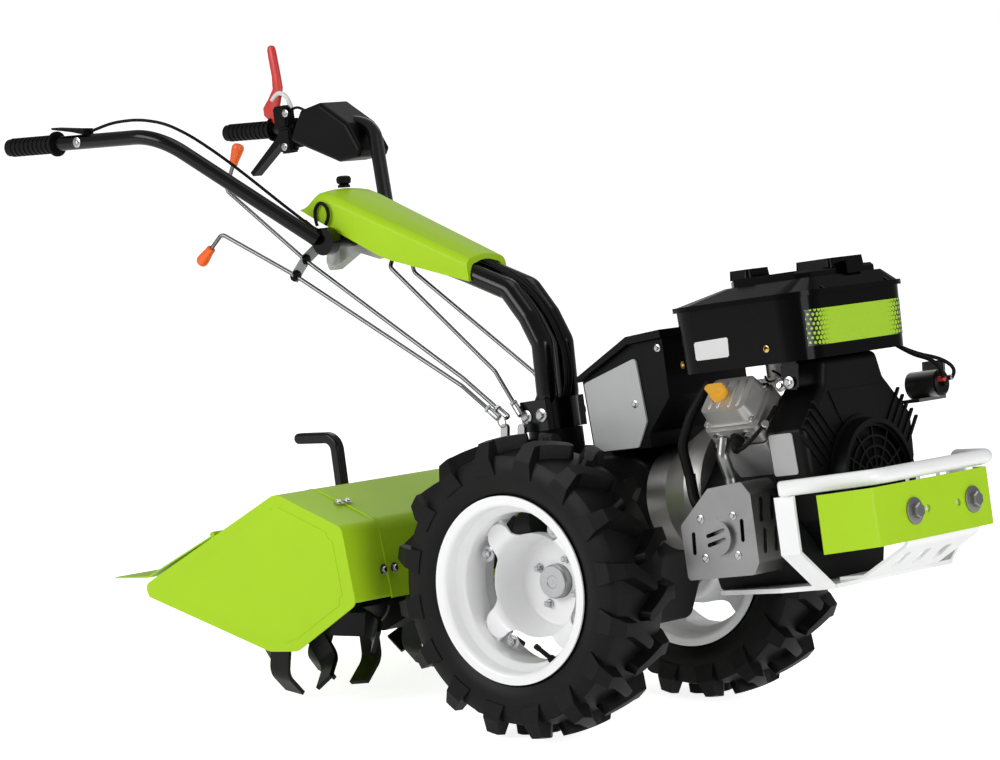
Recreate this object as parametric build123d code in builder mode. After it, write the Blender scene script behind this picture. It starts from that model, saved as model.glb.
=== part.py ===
from build123d import *
import os
from math import cos, radians, sin, tan

# The machine is modelled level: origin at the middle of the wheel axle, X forward, Y left, Z up.
# At the end every piece is laid into the parked stance, nose up on its wheels and tines.

# Stance
axle_height = 270
nose_up = 10

# Wheels
wheel_plane = 253.6
tyre_radius = 270
carcass_radius = 247
tyre_half_width = 73
rim_half_width = 67.5
rim_flange_radius = 168
bead_radius = 152.5
well_radius = 138
rim_wall = 3.5
lugs_a_side = 16
lobe_angle = 34
hub_face = 179
axle_radius = 20
running_gap = 0.05

# Drive line
crank_height = 115
gearbox_half_width = 75
gearbox_rear = -150
gearbox_front = 150
gearbox_top = 215
gearbox_bottom = -105
trumpet_end = 155

# Engine
block_front = 500
shroud_back = 488
shroud_front = 565
fan_radius = 108
v_angle = 45
cylinder_mid = 426

# Top housing
box_rear = 300
box_front = 595
box_half_width = 165
box_bottom = 335
box_rim = 443
box_corner = 55
crown_middle = 487
crown_length = 172
crown_width = 228

# Steering column
column_x = -112
turret_top = 265
tube_radius = 20
tube_half_gap = 30
pivot_x = -527
pivot_z = 668
handle_radius = 14
handle_half_gap = 106

# Tiller
tiller_half_width = 350
seam_y = 250
rotor_x = -570
rotor_z = -2
tine_radius = 169
sheet = 3
hood_rear = (-868, 73)
hood_ridge = (-504, 217)
hood_fold = (-352, 142)
hood_front = (-341, 1)
flap_hinge = (-690, 153)
spur_x = -655

# Front frame
plate_x = 717
bar_radius = 13.5


def along_x(x):
    return Plane.YZ.offset(x)


def along_y(y):
    return Plane.XZ.offset(-y)


def sides():
    return {"right": -1, "left": 1}


pieces = {}


def keep(name, label):
    name.part.label = label
    pieces[label] = name.part


def lug_blank(hand, turn):
    # One lug as a flared prism above the carcass, its rounded centre end leading in the direction of travel
    with BuildPart() as blank:
        with BuildSketch(Plane.XY.offset(tyre_radius + 2)) as outline:
            with BuildLine():
                Polyline(
                    (36, -10 * hand),
                    (18, -10 * hand),
                    (-20, 42 * hand),
                    (-22, 92 * hand),
                    (0, 92 * hand),
                    (2, 50 * hand),
                    close=True,
                )
            make_face()
            fillet(outline.vertices().sort_by(Axis.X)[-2:], radius=6)
        extrude(amount=-70, taper=-9)
    return blank.part.rotate(Axis.Y, turn)


def make_tyre(label, side):
    with BuildPart() as envelope:
        with BuildSketch(Plane.YZ):
            with BuildLine():
                ThreePointArc((-66, 264), (0, tyre_radius), (66, 264))
                Polyline((66, 264), (79, 236), (75, 206), (69, 206), (61, 234), (0, 242))
                Polyline((0, 242), (-61, 234), (-69, 206), (-75, 206), (-79, 236), (-66, 264))
            make_face()
        revolve(axis=Axis.Y)
    with BuildPart() as carcass:
        with BuildSketch(Plane.YZ):
            with BuildLine():
                ThreePointArc((-65, 238), (0, carcass_radius), (65, 238))
                ThreePointArc((65, 238), (tyre_half_width, 205), (66, 172))
                Polyline((66, 172), (62, 169), (62, bead_radius), (48, bead_radius), (50, 172))
                ThreePointArc((50, 172), (63, 205), (56, 229))
                ThreePointArc((56, 229), (0, carcass_radius - 10), (-56, 229))
                ThreePointArc((-56, 229), (-63, 205), (-50, 172))
                Polyline((-50, 172), (-48, bead_radius), (-62, bead_radius), (-62, 169), (-66, 172))
                ThreePointArc((-66, 172), (-tyre_half_width, 205), (-65, 238))
            make_face()
        revolve(axis=Axis.Y)
    pitch = 360 / lugs_a_side
    blanks = []
    for index in range(lugs_a_side):
        blanks.append(lug_blank(1, index * pitch + nose_up))
        blanks.append(lug_blank(-1, (index + 0.5) * pitch + nose_up))
    lugs = Part() + [blank & envelope.part for blank in blanks]
    tyre_solid = carcass.part + lugs
    with BuildPart() as placed:
        with Locations((0, wheel_plane * side, 0)):
            add(tyre_solid)
    keep(placed, label)


def make_rim(label, side):
    with BuildPart() as rim:
        with BuildSketch(Plane.YZ):
            with BuildLine():
                half = rim_half_width
                FilletPolyline(
                    (-half, rim_flange_radius),
                    (-half, bead_radius - 1),
                    (-40, bead_radius - 1),
                    (-28, well_radius),
                    (28, well_radius),
                    (40, bead_radius - 1),
                    (half, bead_radius - 1),
                    (half, rim_flange_radius),
                    radius=5,
                )
                offset(amount=rim_wall, side=Side.RIGHT)
            make_face()
        revolve(axis=Axis.Y)
        with BuildSketch(Plane.XZ.offset(-1)):
            with PolarLocations(125, 4, start_angle=lobe_angle):
                Rectangle(26, 44)
        extrude(amount=6)
    with BuildPart() as placed:
        with Locations((0, wheel_plane * side, 0)):
            add(rim.part if side > 0 else mirror(rim.part, about=Plane.XZ, mode=Mode.PRIVATE))
    keep(placed, label)


def make_disc(label, side):
    # Dished centre with four lobes, in metal as thick as the real pressing
    with BuildPart() as disc:
        with BuildSketch(Plane.YZ):
            with BuildLine():
                FilletPolyline(
                    (hub_face, 31), (hub_face, 84), (hub_face + 76, 98), (hub_face + 76, 142), radius=12
                )
                offset(amount=5, side=Side.RIGHT)
            make_face()
        revolve(axis=Axis.Y)
        with BuildSketch(Plane.XZ.offset(-150)) as lobes:
            Circle(93)
            with PolarLocations(108, 4, start_angle=lobe_angle):
                Circle(26)
            fillet(lobes.vertices(), radius=22)
        extrude(amount=-150, mode=Mode.INTERSECT)
    with BuildPart() as placed:
        add(disc.part if side > 0 else mirror(disc.part, about=Plane.XZ, mode=Mode.PRIVATE))
    keep(placed, label)


def make_hub(label, side):
    with BuildPart() as hub:
        with BuildSketch(Plane.YZ):
            with BuildLine():
                Polyline(
                    (95, 0),
                    (95, axle_radius),
                    (167, axle_radius),
                    (167, 62),
                    (hub_face, 62),
                    (hub_face, 30.5),
                    (197, 30.5),
                    (201, 24),
                    (201, 0),
                    close=True,
                )
            make_face()
        revolve(axis=Axis.Y)
    with BuildPart() as placed:
        add(hub.part if side > 0 else mirror(hub.part, about=Plane.XZ, mode=Mode.PRIVATE))
    keep(placed, label)


for label, side in sides().items():
    make_tyre(f"tyre_{label}", side)
    make_rim(f"rim_{label}", side)
    make_disc(f"wheel_disc_{label}", side)
    make_hub(f"wheel_hub_{label}", side)

# Gearbox housing with axle trumpets and the turret that carries the column
with BuildPart() as gearbox:
    with BuildSketch(Plane.XZ.offset(-gearbox_half_width)) as profile:
        with BuildLine():
            Polyline(
                (gearbox_rear, -40),
                (gearbox_rear, 175),
                (-120, gearbox_top),
                (110, gearbox_top),
                (gearbox_front, 190),
                (gearbox_front, 20),
                (90, gearbox_bottom),
                (-90, gearbox_bottom),
                close=True,
            )
        make_face()
        fillet(profile.vertices(), radius=22)
    extrude(amount=2 * gearbox_half_width)
    fillet(gearbox.faces().filter_by(Axis.Y).edges(), radius=14)
    with BuildSketch(Plane.YZ):
        with BuildLine():
            Polyline((-80, 66), (80, 66), (112, 42), (trumpet_end, 40), (trumpet_end, 0))
            Polyline((trumpet_end, 0), (-trumpet_end, 0), (-trumpet_end, 40), (-112, 42), (-80, 66))
        make_face()
    revolve(axis=Axis.Y)
    with BuildSketch(Plane.XY.offset(180)):
        with Locations((column_x, 0)):
            Circle(50)
    extrude(amount=turret_top - 180)
    with BuildSketch(Plane.XZ.offset(20)):
        with Locations((-156, 225)):
            RectangleRounded(72, 56, 8)
    extrude(amount=50)
    with BuildSketch(Plane.XY.offset(turret_top)):
        with Locations((column_x, 0)):
            Circle(22 + running_gap)
    extrude(amount=-58, mode=Mode.SUBTRACT)
    for plane in (Plane.XZ.offset(-trumpet_end), Plane.XZ.offset(trumpet_end)):
        depth = 62 if plane.origin.Y > 0 else -62
        with BuildSketch(plane):
            Circle(axle_radius + running_gap)
        extrude(amount=depth, mode=Mode.SUBTRACT)
keep(gearbox, "gearbox_housing")

# Selector levers on the gearbox, where the rods hook on
with BuildPart() as selector_levers:
    for x, z in ((-172, 262), (-132, 258)):
        with BuildSketch(Plane.XZ.offset(70.2)):
            with Locations((x, z)):
                SlotOverall(52, 16, rotation=80)
        extrude(amount=8)
    with BuildSketch(Plane.XZ.offset(70.2)):
        with Locations((-152, 238)):
            SlotOverall(60, 18)
    extrude(amount=8)
keep(selector_levers, "selector_levers")

# Clutch housing between gearbox and engine
with BuildPart() as clutch_housing:
    with BuildSketch(Plane.XZ):
        with BuildLine():
            Polyline(
                (gearbox_front, crank_height),
                (gearbox_front, crank_height + 92),
                (196, crank_height + 96),
                (262, crank_height + 128),
                (300, crank_height + 128),
                (300, crank_height),
                close=True,
            )
        make_face()
    revolve(axis=Axis((0, 0, crank_height), (1, 0, 0)))
keep(clutch_housing, "clutch_housing")

# Crankcase as one plain block with the two decks of the vee
with BuildPart() as engine_block:
    with BuildSketch(along_x(300)) as section:
        with BuildLine():
            Polyline(
                (-105, -48), (105, -48), (128, 30), (128, 121), (15, 234), (-15, 234), (-128, 121), (-128, 30),
                close=True,
            )
        make_face()
        fillet(section.vertices(), radius=10)
    extrude(amount=block_front - 300)
keep(engine_block, "engine_block")


def vee_plane(side, x, reach):
    # A plane square to one cylinder of the vee, its X along the crank
    lean = Vector(0, side * sin(radians(v_angle)), cos(radians(v_angle)))
    return Plane(origin=Vector(x, 0, crank_height) + lean * reach, x_dir=(1, 0, 0), z_dir=lean)


with BuildPart() as cylinders:
    for side, x in ((-1, cylinder_mid), (1, cylinder_mid - 30)):
        with BuildSketch(vee_plane(side, x, 96)):
            RectangleRounded(88, 88, 12)
        extrude(amount=80)
        for fin in range(7):
            with BuildSketch(vee_plane(side, x, 104 + 10 * fin)):
                RectangleRounded(112, 100, 10)
            extrude(amount=3)
        with BuildSketch(vee_plane(side, x, 176)):
            RectangleRounded(114, 98, 12)
        extrude(amount=38)
keep(cylinders, "cylinders")

with BuildPart() as valve_covers:
    for side, x in ((-1, cylinder_mid), (1, cylinder_mid - 30)):
        with BuildSketch(vee_plane(side, x, 214.2)):
            RectangleRounded(108, 92, 16)
        extrude(amount=8)
        with BuildSketch(vee_plane(side, x, 222)):
            RectangleRounded(100, 84, 16)
        extrude(amount=30, taper=8)
keep(valve_covers, "valve_covers")

# Grey sheet shrouds round both cylinders, with a flat plate on each flank of the blower shroud
with BuildPart() as cylinder_shrouds:
    for side, x in ((-1, cylinder_mid), (1, cylinder_mid - 30)):
        with BuildSketch(vee_plane(side, x, 97)):
            RectangleRounded(119, 109, 16)
            RectangleRounded(114, 104, 13, mode=Mode.SUBTRACT)
        extrude(amount=78)
        flank = Plane(origin=(516, 162.7 * side, 179), x_dir=(1, 0, 0), z_dir=(0, 0.998 * side, -0.064))
        with BuildSketch(flank.offset(0.2)):
            RectangleRounded(50, 72, 5)
        extrude(amount=2)
keep(cylinder_shrouds, "cylinder_shrouds")

# Intake manifold in the vee with the throttle body up to the air box
with BuildPart() as intake_manifold:
    for x, lean in ((400, -1), (430, 1)):
        with BuildLine() as route:
            FilletPolyline((x, 66 * lean, 262), (415, 40 * lean, 296), (415, 0, 296), radius=14)
        with BuildSketch(Plane(origin=route.line @ 0, z_dir=route.line % 0)):
            Circle(15)
        sweep()
    with BuildSketch(Plane.XY.offset(290)):
        with Locations((415, 0)):
            RectangleRounded(78, 60, 10)
    extrude(amount=20)
    with BuildSketch(Plane.XY.offset(308)):
        with Locations((415, 0)):
            Circle(27)
    extrude(amount=box_bottom - 308.2)
keep(intake_manifold, "intake_manifold")

oil_plane = vee_plane(-1, cylinder_mid - 16, 252)
with BuildPart() as oil_cap:
    with BuildSketch(oil_plane.offset(0.2)):
        Circle(16)
    extrude(amount=10)
    with BuildSketch(oil_plane.offset(10)):
        SlotOverall(38, 14)
    extrude(amount=14)
keep(oil_cap, "oil_cap")

# Black blower shroud over the front of the vee, with its round fan housing and ribbed arms
with BuildPart() as fan_shroud:
    with BuildSketch(along_x(shroud_back)) as shape:
        with BuildLine():
            Polyline(
                (-70, 0), (70, 0), (122, 60), (160, 140), (165, 218), (95, 290), (82, 334.8),
                (-82, 334.8), (-95, 290), (-165, 218), (-160, 140), (-122, 60),
                close=True,
            )
        make_face()
        fillet(shape.vertices(), radius=12)
    extrude(amount=shroud_front - shroud_back)
    fillet(fan_shroud.faces().sort_by(Axis.X)[-1].edges(), radius=14)
    with BuildSketch(along_x(shroud_front - 2)):
        for side in (-1, 1):
            for rib in range(5):
                with Locations(Location((side * (96 + 13 * rib), 224 - 11 * rib, 0), (0, 0, side * 50))):
                    SlotOverall(104 - 6 * rib, 5)
    extrude(amount=5)
    with BuildSketch(along_x(shroud_front - 2)) as name_place:
        with BuildLine():
            Polyline((-80, 276), (80, 276), (50, 218), (-50, 218), close=True)
        make_face()
    extrude(amount=4)
    with BuildSketch(along_x(block_front)):
        with Locations((0, crank_height)):
            Circle(fan_radius + 6)
    extrude(amount=shroud_front - block_front + 6)
    with BuildSketch(along_x(shroud_front)):
        with Locations((0, crank_height)):
            Circle(fan_radius)
    extrude(amount=32, taper=6)
    with BuildSketch(along_x(shroud_front + 40)):
        with Locations((0, crank_height)):
            Circle(fan_radius - 12)
    extrude(amount=-32, mode=Mode.SUBTRACT)
    with BuildSketch(along_x(shroud_back)):
        with BuildLine():
            Polyline((-66, 4), (66, 4), (118, 62), (154, 140), (158, 214), (90, 284), (-90, 284))
            Polyline((-90, 284), (-158, 214), (-154, 140), (-118, 62), (-66, 4))
        make_face()
    extrude(amount=block_front - shroud_back + 0.2, mode=Mode.SUBTRACT)
    add(pieces["engine_block"], mode=Mode.SUBTRACT)
keep(fan_shroud, "fan_shroud")

# Guard of rings and spokes over the blower
with BuildPart() as fan_grille:
    with BuildSketch(along_x(shroud_front + 20)):
        with Locations((0, crank_height)):
            Circle(fan_radius - 12.2)
            Circle(fan_radius - 17, mode=Mode.SUBTRACT)
            for ring in (76, 58, 40):
                with BuildSketch(mode=Mode.PRIVATE) as band:
                    Circle(ring)
                    Circle(ring - 4, mode=Mode.SUBTRACT)
                add(band.sketch)
            Circle(22)
            with PolarLocations(54, 12):
                Rectangle(78, 3.5)
    extrude(amount=5)
keep(fan_grille, "fan_grille")

# Air box with its lid
with BuildPart() as air_box:
    with BuildSketch(Plane.XY.offset(box_bottom)):
        with Locations(((box_rear + box_front) / 2, 0)):
            RectangleRounded(box_front - box_rear - 8, 2 * box_half_width - 8, box_corner - 4)
    with BuildSketch(Plane.XY.offset(box_rim)):
        with Locations(((box_rear + box_front) / 2, 0)):
            RectangleRounded(box_front - box_rear, 2 * box_half_width, box_corner)
    loft()
keep(air_box, "air_box")

with BuildPart() as air_box_lid:
    middle = (box_rear + box_front) / 2
    with BuildSketch(Plane.XY.offset(box_rim + 0.2)):
        with Locations((middle, 0)):
            RectangleRounded(box_front - box_rear + 12, 2 * box_half_width + 12, box_corner + 5)
    extrude(amount=9)
    with BuildSketch(Plane.XY.offset(box_rim + 9)):
        with Locations((middle, 0)):
            RectangleRounded(box_front - box_rear, 2 * box_half_width, box_corner)
    with BuildSketch(Plane.XY.offset(474)):
        with Locations((crown_middle, 0)):
            RectangleRounded(crown_length + 14, crown_width + 14, 26)
    loft()
    with BuildSketch(Plane.XY.offset(473)) as crown:
        with Locations((crown_middle, 0)):
            Rectangle(crown_length, crown_width)
        chamfer(crown.vertices(), length=20)
    extrude(amount=15)
    chamfer(air_box_lid.faces().sort_by(Axis.Z)[-1].edges(), length=5)
    with BuildSketch(Plane.XY.offset(486)) as catches:
        with Locations((crown_middle - 62, -70)):
            RectangleRounded(48, 66, 10)
        with Locations((crown_middle + 46, 20)):
            RectangleRounded(78, 104, 8)
    extrude(amount=17, taper=6)
    with BuildSketch(along_x(crown_middle + crown_length / 2 + 12)):
        with Locations((20, 484)):
            Rectangle(46, 22)
    extrude(amount=-40)
    for side in (-1, 1):
        with BuildSketch(Plane.XZ.offset(side * 96 - 3)):
            with BuildLine():
                Polyline((crown_middle + 84, 474), (box_front + 4, 452), (crown_middle + 84, 452), close=True)
            make_face()
        extrude(amount=6)
keep(air_box_lid, "air_box_lid")

# Muffler inside its folded heat guard, and the pipe down to it from the exhaust port
with BuildPart() as muffler:
    with BuildSketch(Plane.XZ.offset(128.2)) as can:
        with BuildLine():
            Polyline((324, -8), (323, 74), (372, 112), (452, 116), (462, 100), (462, 6), (452, -8), close=True)
        make_face()
        fillet(can.vertices(), radius=9)
    extrude(amount=80)
keep(muffler, "muffler")

guard_outline = [(317, -18), (316, 78), (384, 137), (457, 143), (474, 120), (474, 2), (460, -18)]
with BuildPart() as muffler_guard:
    with BuildSketch(Plane.XZ.offset(136)) as guard:
        Polygon(*guard_outline, align=None)
        fillet(guard.vertices(), radius=8)
    extrude(amount=81)
    with BuildSketch(Plane.XZ.offset(130)) as inside:
        Polygon(*guard_outline, align=None)
        fillet(inside.vertices(), radius=8)
        offset(amount=-2.5)
    extrude(amount=84.5, mode=Mode.SUBTRACT)
    with BuildSketch(Plane.XZ.offset(217)):
        with Locations((396, 52)):
            Circle(31)
    extrude(amount=9)
    with BuildSketch(Plane.XZ.offset(230)):
        with Locations((396, 60), (396, 44)):
            SlotOverall(42, 7, rotation=12)
        with Locations((340, 45), (447, 60)):
            SlotOverall(40, 8, rotation=86)
    extrude(amount=-30, mode=Mode.SUBTRACT)
    with BuildSketch(along_x(485)):
        for z in (38, 92):
            with Locations((-192, z), (-160, z)):
                SlotOverall(44, 9, rotation=80)
    extrude(amount=-30, mode=Mode.SUBTRACT)
    with BuildSketch(Plane.XY.offset(120)):
        with Locations((400, -168)):
            Circle(14)
    extrude(amount=40, mode=Mode.SUBTRACT)
keep(muffler_guard, "muffler_guard")

with BuildPart() as exhaust_pipe:
    with BuildLine() as route:
        FilletPolyline((400, -168, 114.4), (400, -168, 150), (400, -182, 188), (400, -171, 217), radius=14)
    with BuildSketch(Plane(origin=route.line @ 0, z_dir=route.line % 0)):
        Circle(11)
    sweep()
keep(exhaust_pipe, "exhaust_pipe")

# Dark breather hose that curves down behind the right head
with BuildPart() as breather_hose:
    with BuildLine() as route:
        FilletPolyline((345, -118, 318), (310, -140, 262), (286, -146, 212), (296, -146, 150), radius=50)
    with BuildSketch(Plane(origin=route.line @ 0, z_dir=route.line % 0)):
        Circle(9)
    sweep()
keep(breather_hose, "breather_hose")

# Bracket with the starter solenoid on the left of the shroud
with BuildPart() as solenoid_bracket:
    with BuildSketch(along_x(535)) as tray:
        with BuildLine():
            Polyline((166, 232), (250, 232), (262, 300), (256, 300), (246, 238), (166, 238), close=True)
        make_face()
    extrude(amount=46)
    with BuildSketch(along_x(540)):
        with Locations((210, 261)):
            Circle(24)
    extrude(amount=60)
keep(solenoid_bracket, "solenoid_bracket")

# Box for the battery behind the engine, with its two side panels and peaked cap
with BuildPart() as battery_box:
    with BuildSketch(Plane.XZ.offset(-116)):
        with BuildLine():
            Polyline((66, 215.2), (60, 345), (179, 400), (250, 404), (250, 300), (196, 240), (196, 215.2), close=True)
        make_face()
    extrude(amount=232)
keep(battery_box, "battery_box")

with BuildPart() as battery_box_panels:
    for y in (-116.2, 120.2):
        with BuildSketch(Plane.XZ.offset(-y)) as panel:
            with BuildLine():
                Polyline((72, 218), (66, 342), (188, 376), (196, 262), (170, 218), close=True)
            make_face()
            fillet(panel.vertices(), radius=6)
        extrude(amount=4)
keep(battery_box_panels, "battery_box_panels")

with BuildPart() as battery_box_cap:
    with BuildSketch(Plane.XZ.offset(-128)):
        with BuildLine():
            Polyline((52, 345), (51, 352), (179, 415), (256, 420), (256, 406), (179, 401.4), (60, 346.4), close=True)
        make_face()
    extrude(amount=256)
keep(battery_box_cap, "battery_box_cap")

# White engine cradle: base plate, side struts, bumper bar and slotted skid plate
with BuildPart() as engine_base_plate:
    with BuildSketch(Plane.XY.offset(-48.2)):
        with BuildLine():
            Polyline((300, -110), (480, -175), (600, -175), (600, 175), (480, 175), (300, 110), close=True)
        make_face()
    extrude(amount=-8)
keep(engine_base_plate, "engine_base_plate")

for label, side in sides().items():
    with BuildPart() as strut:
        with BuildSketch(along_x(556)):
            with BuildLine():
                Polyline(
                    (175 * side, -56.4),
                    (262 * side, 14),
                    (262 * side, 112),
                    (256 * side, 112),
                    (256 * side, 17),
                    (175 * side, -48.6),
                    close=True,
                )
            make_face()
        extrude(amount=40)
    keep(strut, f"bumper_strut_{label}")

with BuildPart() as bumper_bar:
    with BuildLine() as route:
        FilletPolyline(
            (573, -270, 125.7), (705, -170, 125.7), (705, 170, 125.7), (573, 270, 125.7), radius=45
        )
    with BuildSketch(Plane(origin=route.line @ 0, z_dir=route.line % 0)):
        Circle(bar_radius)
    sweep()
    fillet(bumper_bar.edges().filter_by(GeomType.CIRCLE), radius=6)
keep(bumper_bar, "bumper_bar")

with BuildPart() as skid_plate:
    with BuildSketch(Plane.XZ.offset(-110)):
        with BuildLine():
            FilletPolyline((560, -48), (612, -48), (712, 2), (712, 95), radius=20)
            offset(amount=6, side=Side.LEFT)
        make_face()
    extrude(amount=220)
    slope = Plane(origin=(655, 0, -20), x_dir=(0, 1, 0), z_dir=(-0.46, 0, 0.89))
    with BuildSketch(slope):
        with Locations((-62, 0), (0, 0), (62, 0)):
            SlotOverall(56, 20, rotation=70)
    extrude(amount=30, both=True, mode=Mode.SUBTRACT)
    with BuildSketch(along_x(plate_x + 10)):
        with Locations((-89, 57.5), (89, 57.5)):
            Circle(9)
        with Locations((-46, 57.5), (46, 57.5)):
            Circle(6.5)
    extrude(amount=-30, mode=Mode.SUBTRACT)
keep(skid_plate, "skid_plate")

# Green plate across the front, folded back at both ends and bolted to the skid plate's flange
with BuildPart() as front_plate:
    with BuildSketch(Plane.XY.offset(9)):
        with BuildLine():
            FilletPolyline((650, -268), (plate_x, -197), (plate_x, 147), (672, 176), radius=14)
            offset(amount=5, side=Side.LEFT)
        make_face()
    extrude(amount=100)
    with BuildSketch(along_x(plate_x + 10)):
        with Locations((-89, 57.5), (89, 57.5)):
            Circle(9)
        with Locations((-46, 57.5), (46, 57.5)):
            Circle(6.5)
    extrude(amount=-30, mode=Mode.SUBTRACT)
keep(front_plate, "front_plate")

# Tiller gear case from the power take-off flange to the middle of the rotor
with BuildPart() as tiller_gear_case:
    with BuildSketch(Plane.XZ.offset(-32)) as case:
        with BuildLine():
            Polyline(
                (-196, 24), (-196, 118), (-330, 104), (-450, 96), (-560, 74), (-638, 20), (-630, -52),
                (-570, -76), (-500, -50), (-380, 20),
                close=True,
            )
        make_face()
        fillet(case.vertices(), radius=18)
    extrude(amount=64)
    with BuildSketch(along_x(-196)):
        with Locations((0, 70)):
            Circle(62)
    extrude(amount=46)
    with BuildSketch(Plane.XZ.offset(-60)):
        with Locations((rotor_x, rotor_z)):
            Circle(22 + running_gap)
    extrude(amount=120, mode=Mode.SUBTRACT)
    with BuildSketch(Plane.XY.offset(20)):
        with Locations((spur_x + 12, 0)):
            Rectangle(70, 40)
    extrude(amount=46)
    with BuildSketch(Plane.XY.offset(-80)):
        with Locations((spur_x, 0)):
            Rectangle(22, 23)
    extrude(amount=200, mode=Mode.SUBTRACT)
keep(tiller_gear_case, "tiller_gear_case")

# Centre hood: folded sheet over the rotor, notched for the gear case and the depth spur
with BuildPart() as tiller_hood:
    with BuildSketch(Plane.XZ.offset(-seam_y)):
        with BuildLine():
            FilletPolyline(hood_rear, hood_ridge, hood_fold, hood_front, radius=34)
            offset(amount=sheet, side=Side.RIGHT)
        make_face()
    extrude(amount=2 * seam_y)
    with BuildSketch(along_x(hood_front[0] + 30)):
        with Locations((0, 50)):
            Rectangle(80, 140)
    extrude(amount=-60, mode=Mode.SUBTRACT)
    with BuildSketch(Plane.XY.offset(260)):
        with Locations((spur_x, 0)):
            Rectangle(40, 40)
    extrude(amount=-150, mode=Mode.SUBTRACT)
    for y in (-160, 160):
        with BuildSketch(along_y(y + 10)):
            with Locations(flap_hinge):
                Circle(11)
            with Locations((flap_hinge[0] + 2, flap_hinge[1] - 8)):
                Rectangle(14, 12)
        extrude(amount=20)
        with BuildSketch(along_y(y + 12)):
            with Locations(flap_hinge):
                Circle(6 + running_gap)
        extrude(amount=24, mode=Mode.SUBTRACT)
keep(tiller_hood, "tiller_hood")


def make_side_hood(label, side):
    # Side pan: closed outer plate with a skirt that carries the hood on to the seam
    outline = [hood_ridge, hood_fold, hood_front, (-500, -75), (-569, -71), (-860, 50), hood_rear]
    top = tiller_half_width * side
    inward = 1 if side < 0 else -1
    with BuildPart() as pan:
        with BuildSketch(along_y(top)) as plate:
            Polygon(*outline, align=None)
            fillet(plate.vertices().group_by(Axis.X)[0], radius=14)
            fillet(plate.vertices().sort_by(Axis.Y)[-1], radius=34)
            fillet(plate.vertices().sort_by(Axis.X)[-2:], radius=20)
            fillet(plate.vertices().sort_by(Axis.Y)[:2], radius=30)
        extrude(amount=-inward * (tiller_half_width - seam_y - 0.2))
        with BuildSketch(along_y(top + inward * sheet)) as hollow:
            with BuildLine():
                Polyline(
                    (hood_rear[0] + 12, hood_rear[1]),
                    (hood_ridge[0], hood_ridge[1] - 8),
                    (hood_fold[0] - 5, hood_fold[1] - 2),
                    (hood_front[0] - 3, hood_front[1]),
                    (hood_front[0] - 3, -200),
                    (hood_rear[0] + 12, -200),
                    close=True,
                )
            make_face()
        extrude(amount=-inward * tiller_half_width, mode=Mode.SUBTRACT)
    keep(pan, label)


for label, side in sides().items():
    make_side_hood(f"tiller_side_{label}", side)

# Rear flap on its hinge rod
with BuildPart() as rear_flap:
    with BuildSketch(Plane.XZ.offset(-335)):
        with BuildLine():
            hinge_x, hinge_z = flap_hinge
            FilletPolyline((hinge_x, hinge_z), (-871, 88), (-959, 93), radius=12)
            offset(amount=sheet, side=Side.LEFT)
        make_face()
    extrude(amount=670)
    with BuildSketch(Plane.XY.offset(100)):
        with Locations((hinge_x, -160), (hinge_x, 160)):
            Rectangle(34, 30)
    extrude(amount=100, mode=Mode.SUBTRACT)
    with BuildSketch(Plane.XZ.offset(-335)):
        with Locations(flap_hinge):
            Circle(6)
    extrude(amount=670)
keep(rear_flap, "rear_flap")

# Depth spur: flat bar with a bent grip, sliding behind the gear case
with BuildPart() as depth_spur:
    with BuildSketch(Plane.XZ.offset(-11)):
        with BuildLine():
            FilletPolyline((-745, 305), (spur_x, 299), (spur_x, -60), radius=26)
            offset(amount=10.5, side=Side.BOTH)
        make_face()
    extrude(amount=22)
    fillet(depth_spur.faces().sort_by(Axis.X)[0].edges(), radius=5)
keep(depth_spur, "depth_spur")

# Rotor: shaft with flanges, and the bent tines bolted round them
with BuildPart() as rotor_shaft:
    with BuildSketch(Plane.XZ.offset(-318)):
        with Locations((rotor_x, rotor_z)):
            Circle(22)
    extrude(amount=636)
    for y in (66, 156, 246, 306):
        for plane in (Plane.XZ.offset(-y - 4), Plane.XZ.offset(y - 4)):
            with BuildSketch(plane):
                with Locations((rotor_x, rotor_z)):
                    Circle(58)
            extrude(amount=8)
keep(rotor_shaft, "rotor_shaft")


def tine(y, bend, turn):
    # Flat blade out along the flange, then curved sideways to its tip
    with BuildPart() as blade:
        with BuildLine(Plane.YZ) as route:
            FilletPolyline((0, 44), (0, 120), (bend * 46, tine_radius - 10), radius=36)
        with BuildSketch(Plane.XY.offset(44)):
            Rectangle(44, 8)
        sweep()
    spin = Location((rotor_x, y, rotor_z), (0, turn, 0))
    return spin * blade.part


def make_tines(label, side):
    blades = []
    start = 15 if side > 0 else 0
    for row, y in enumerate((74, 164, 254)):
        for index in range(4):
            bend = side if row == 0 or index % 2 else -side
            blades.append(tine(side * y, bend, index * 90 + row * 30 + start))
    for index in range(4):
        blades.append(tine(side * 298, -side, index * 90 + 15 + start))
    whole = Part() + blades
    with BuildPart() as set_of_tines:
        add(whole)
    keep(set_of_tines, label)


for label, side in sides().items():
    make_tines(f"tines_{label}", side)

# Steering column: clamp on the turret pin, and two bent tubes
column_path = [(-114, 300), (-96, 326), (-92, 423), (-115, 475), (-152, 529), (-248, 574), (-450, 660)]
with BuildPart() as steering_column:
    for y in (-tube_half_gap, tube_half_gap):
        with BuildLine(along_y(y)) as route:
            FilletPolyline(*column_path, radius=22)
        with BuildSketch(Plane(origin=route.line @ 0, z_dir=route.line % 0)):
            Circle(tube_radius)
        sweep()
    with BuildSketch(Plane.XY.offset(turret_top + 1)):
        with Locations((column_x, 0)):
            Circle(48)
            Rectangle(60, 112)
    extrude(amount=56)
    with BuildSketch(Plane.XY.offset(turret_top - 54)):
        with Locations((column_x, 0)):
            Circle(22)
    extrude(amount=60)
keep(steering_column, "steering_column")

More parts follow.
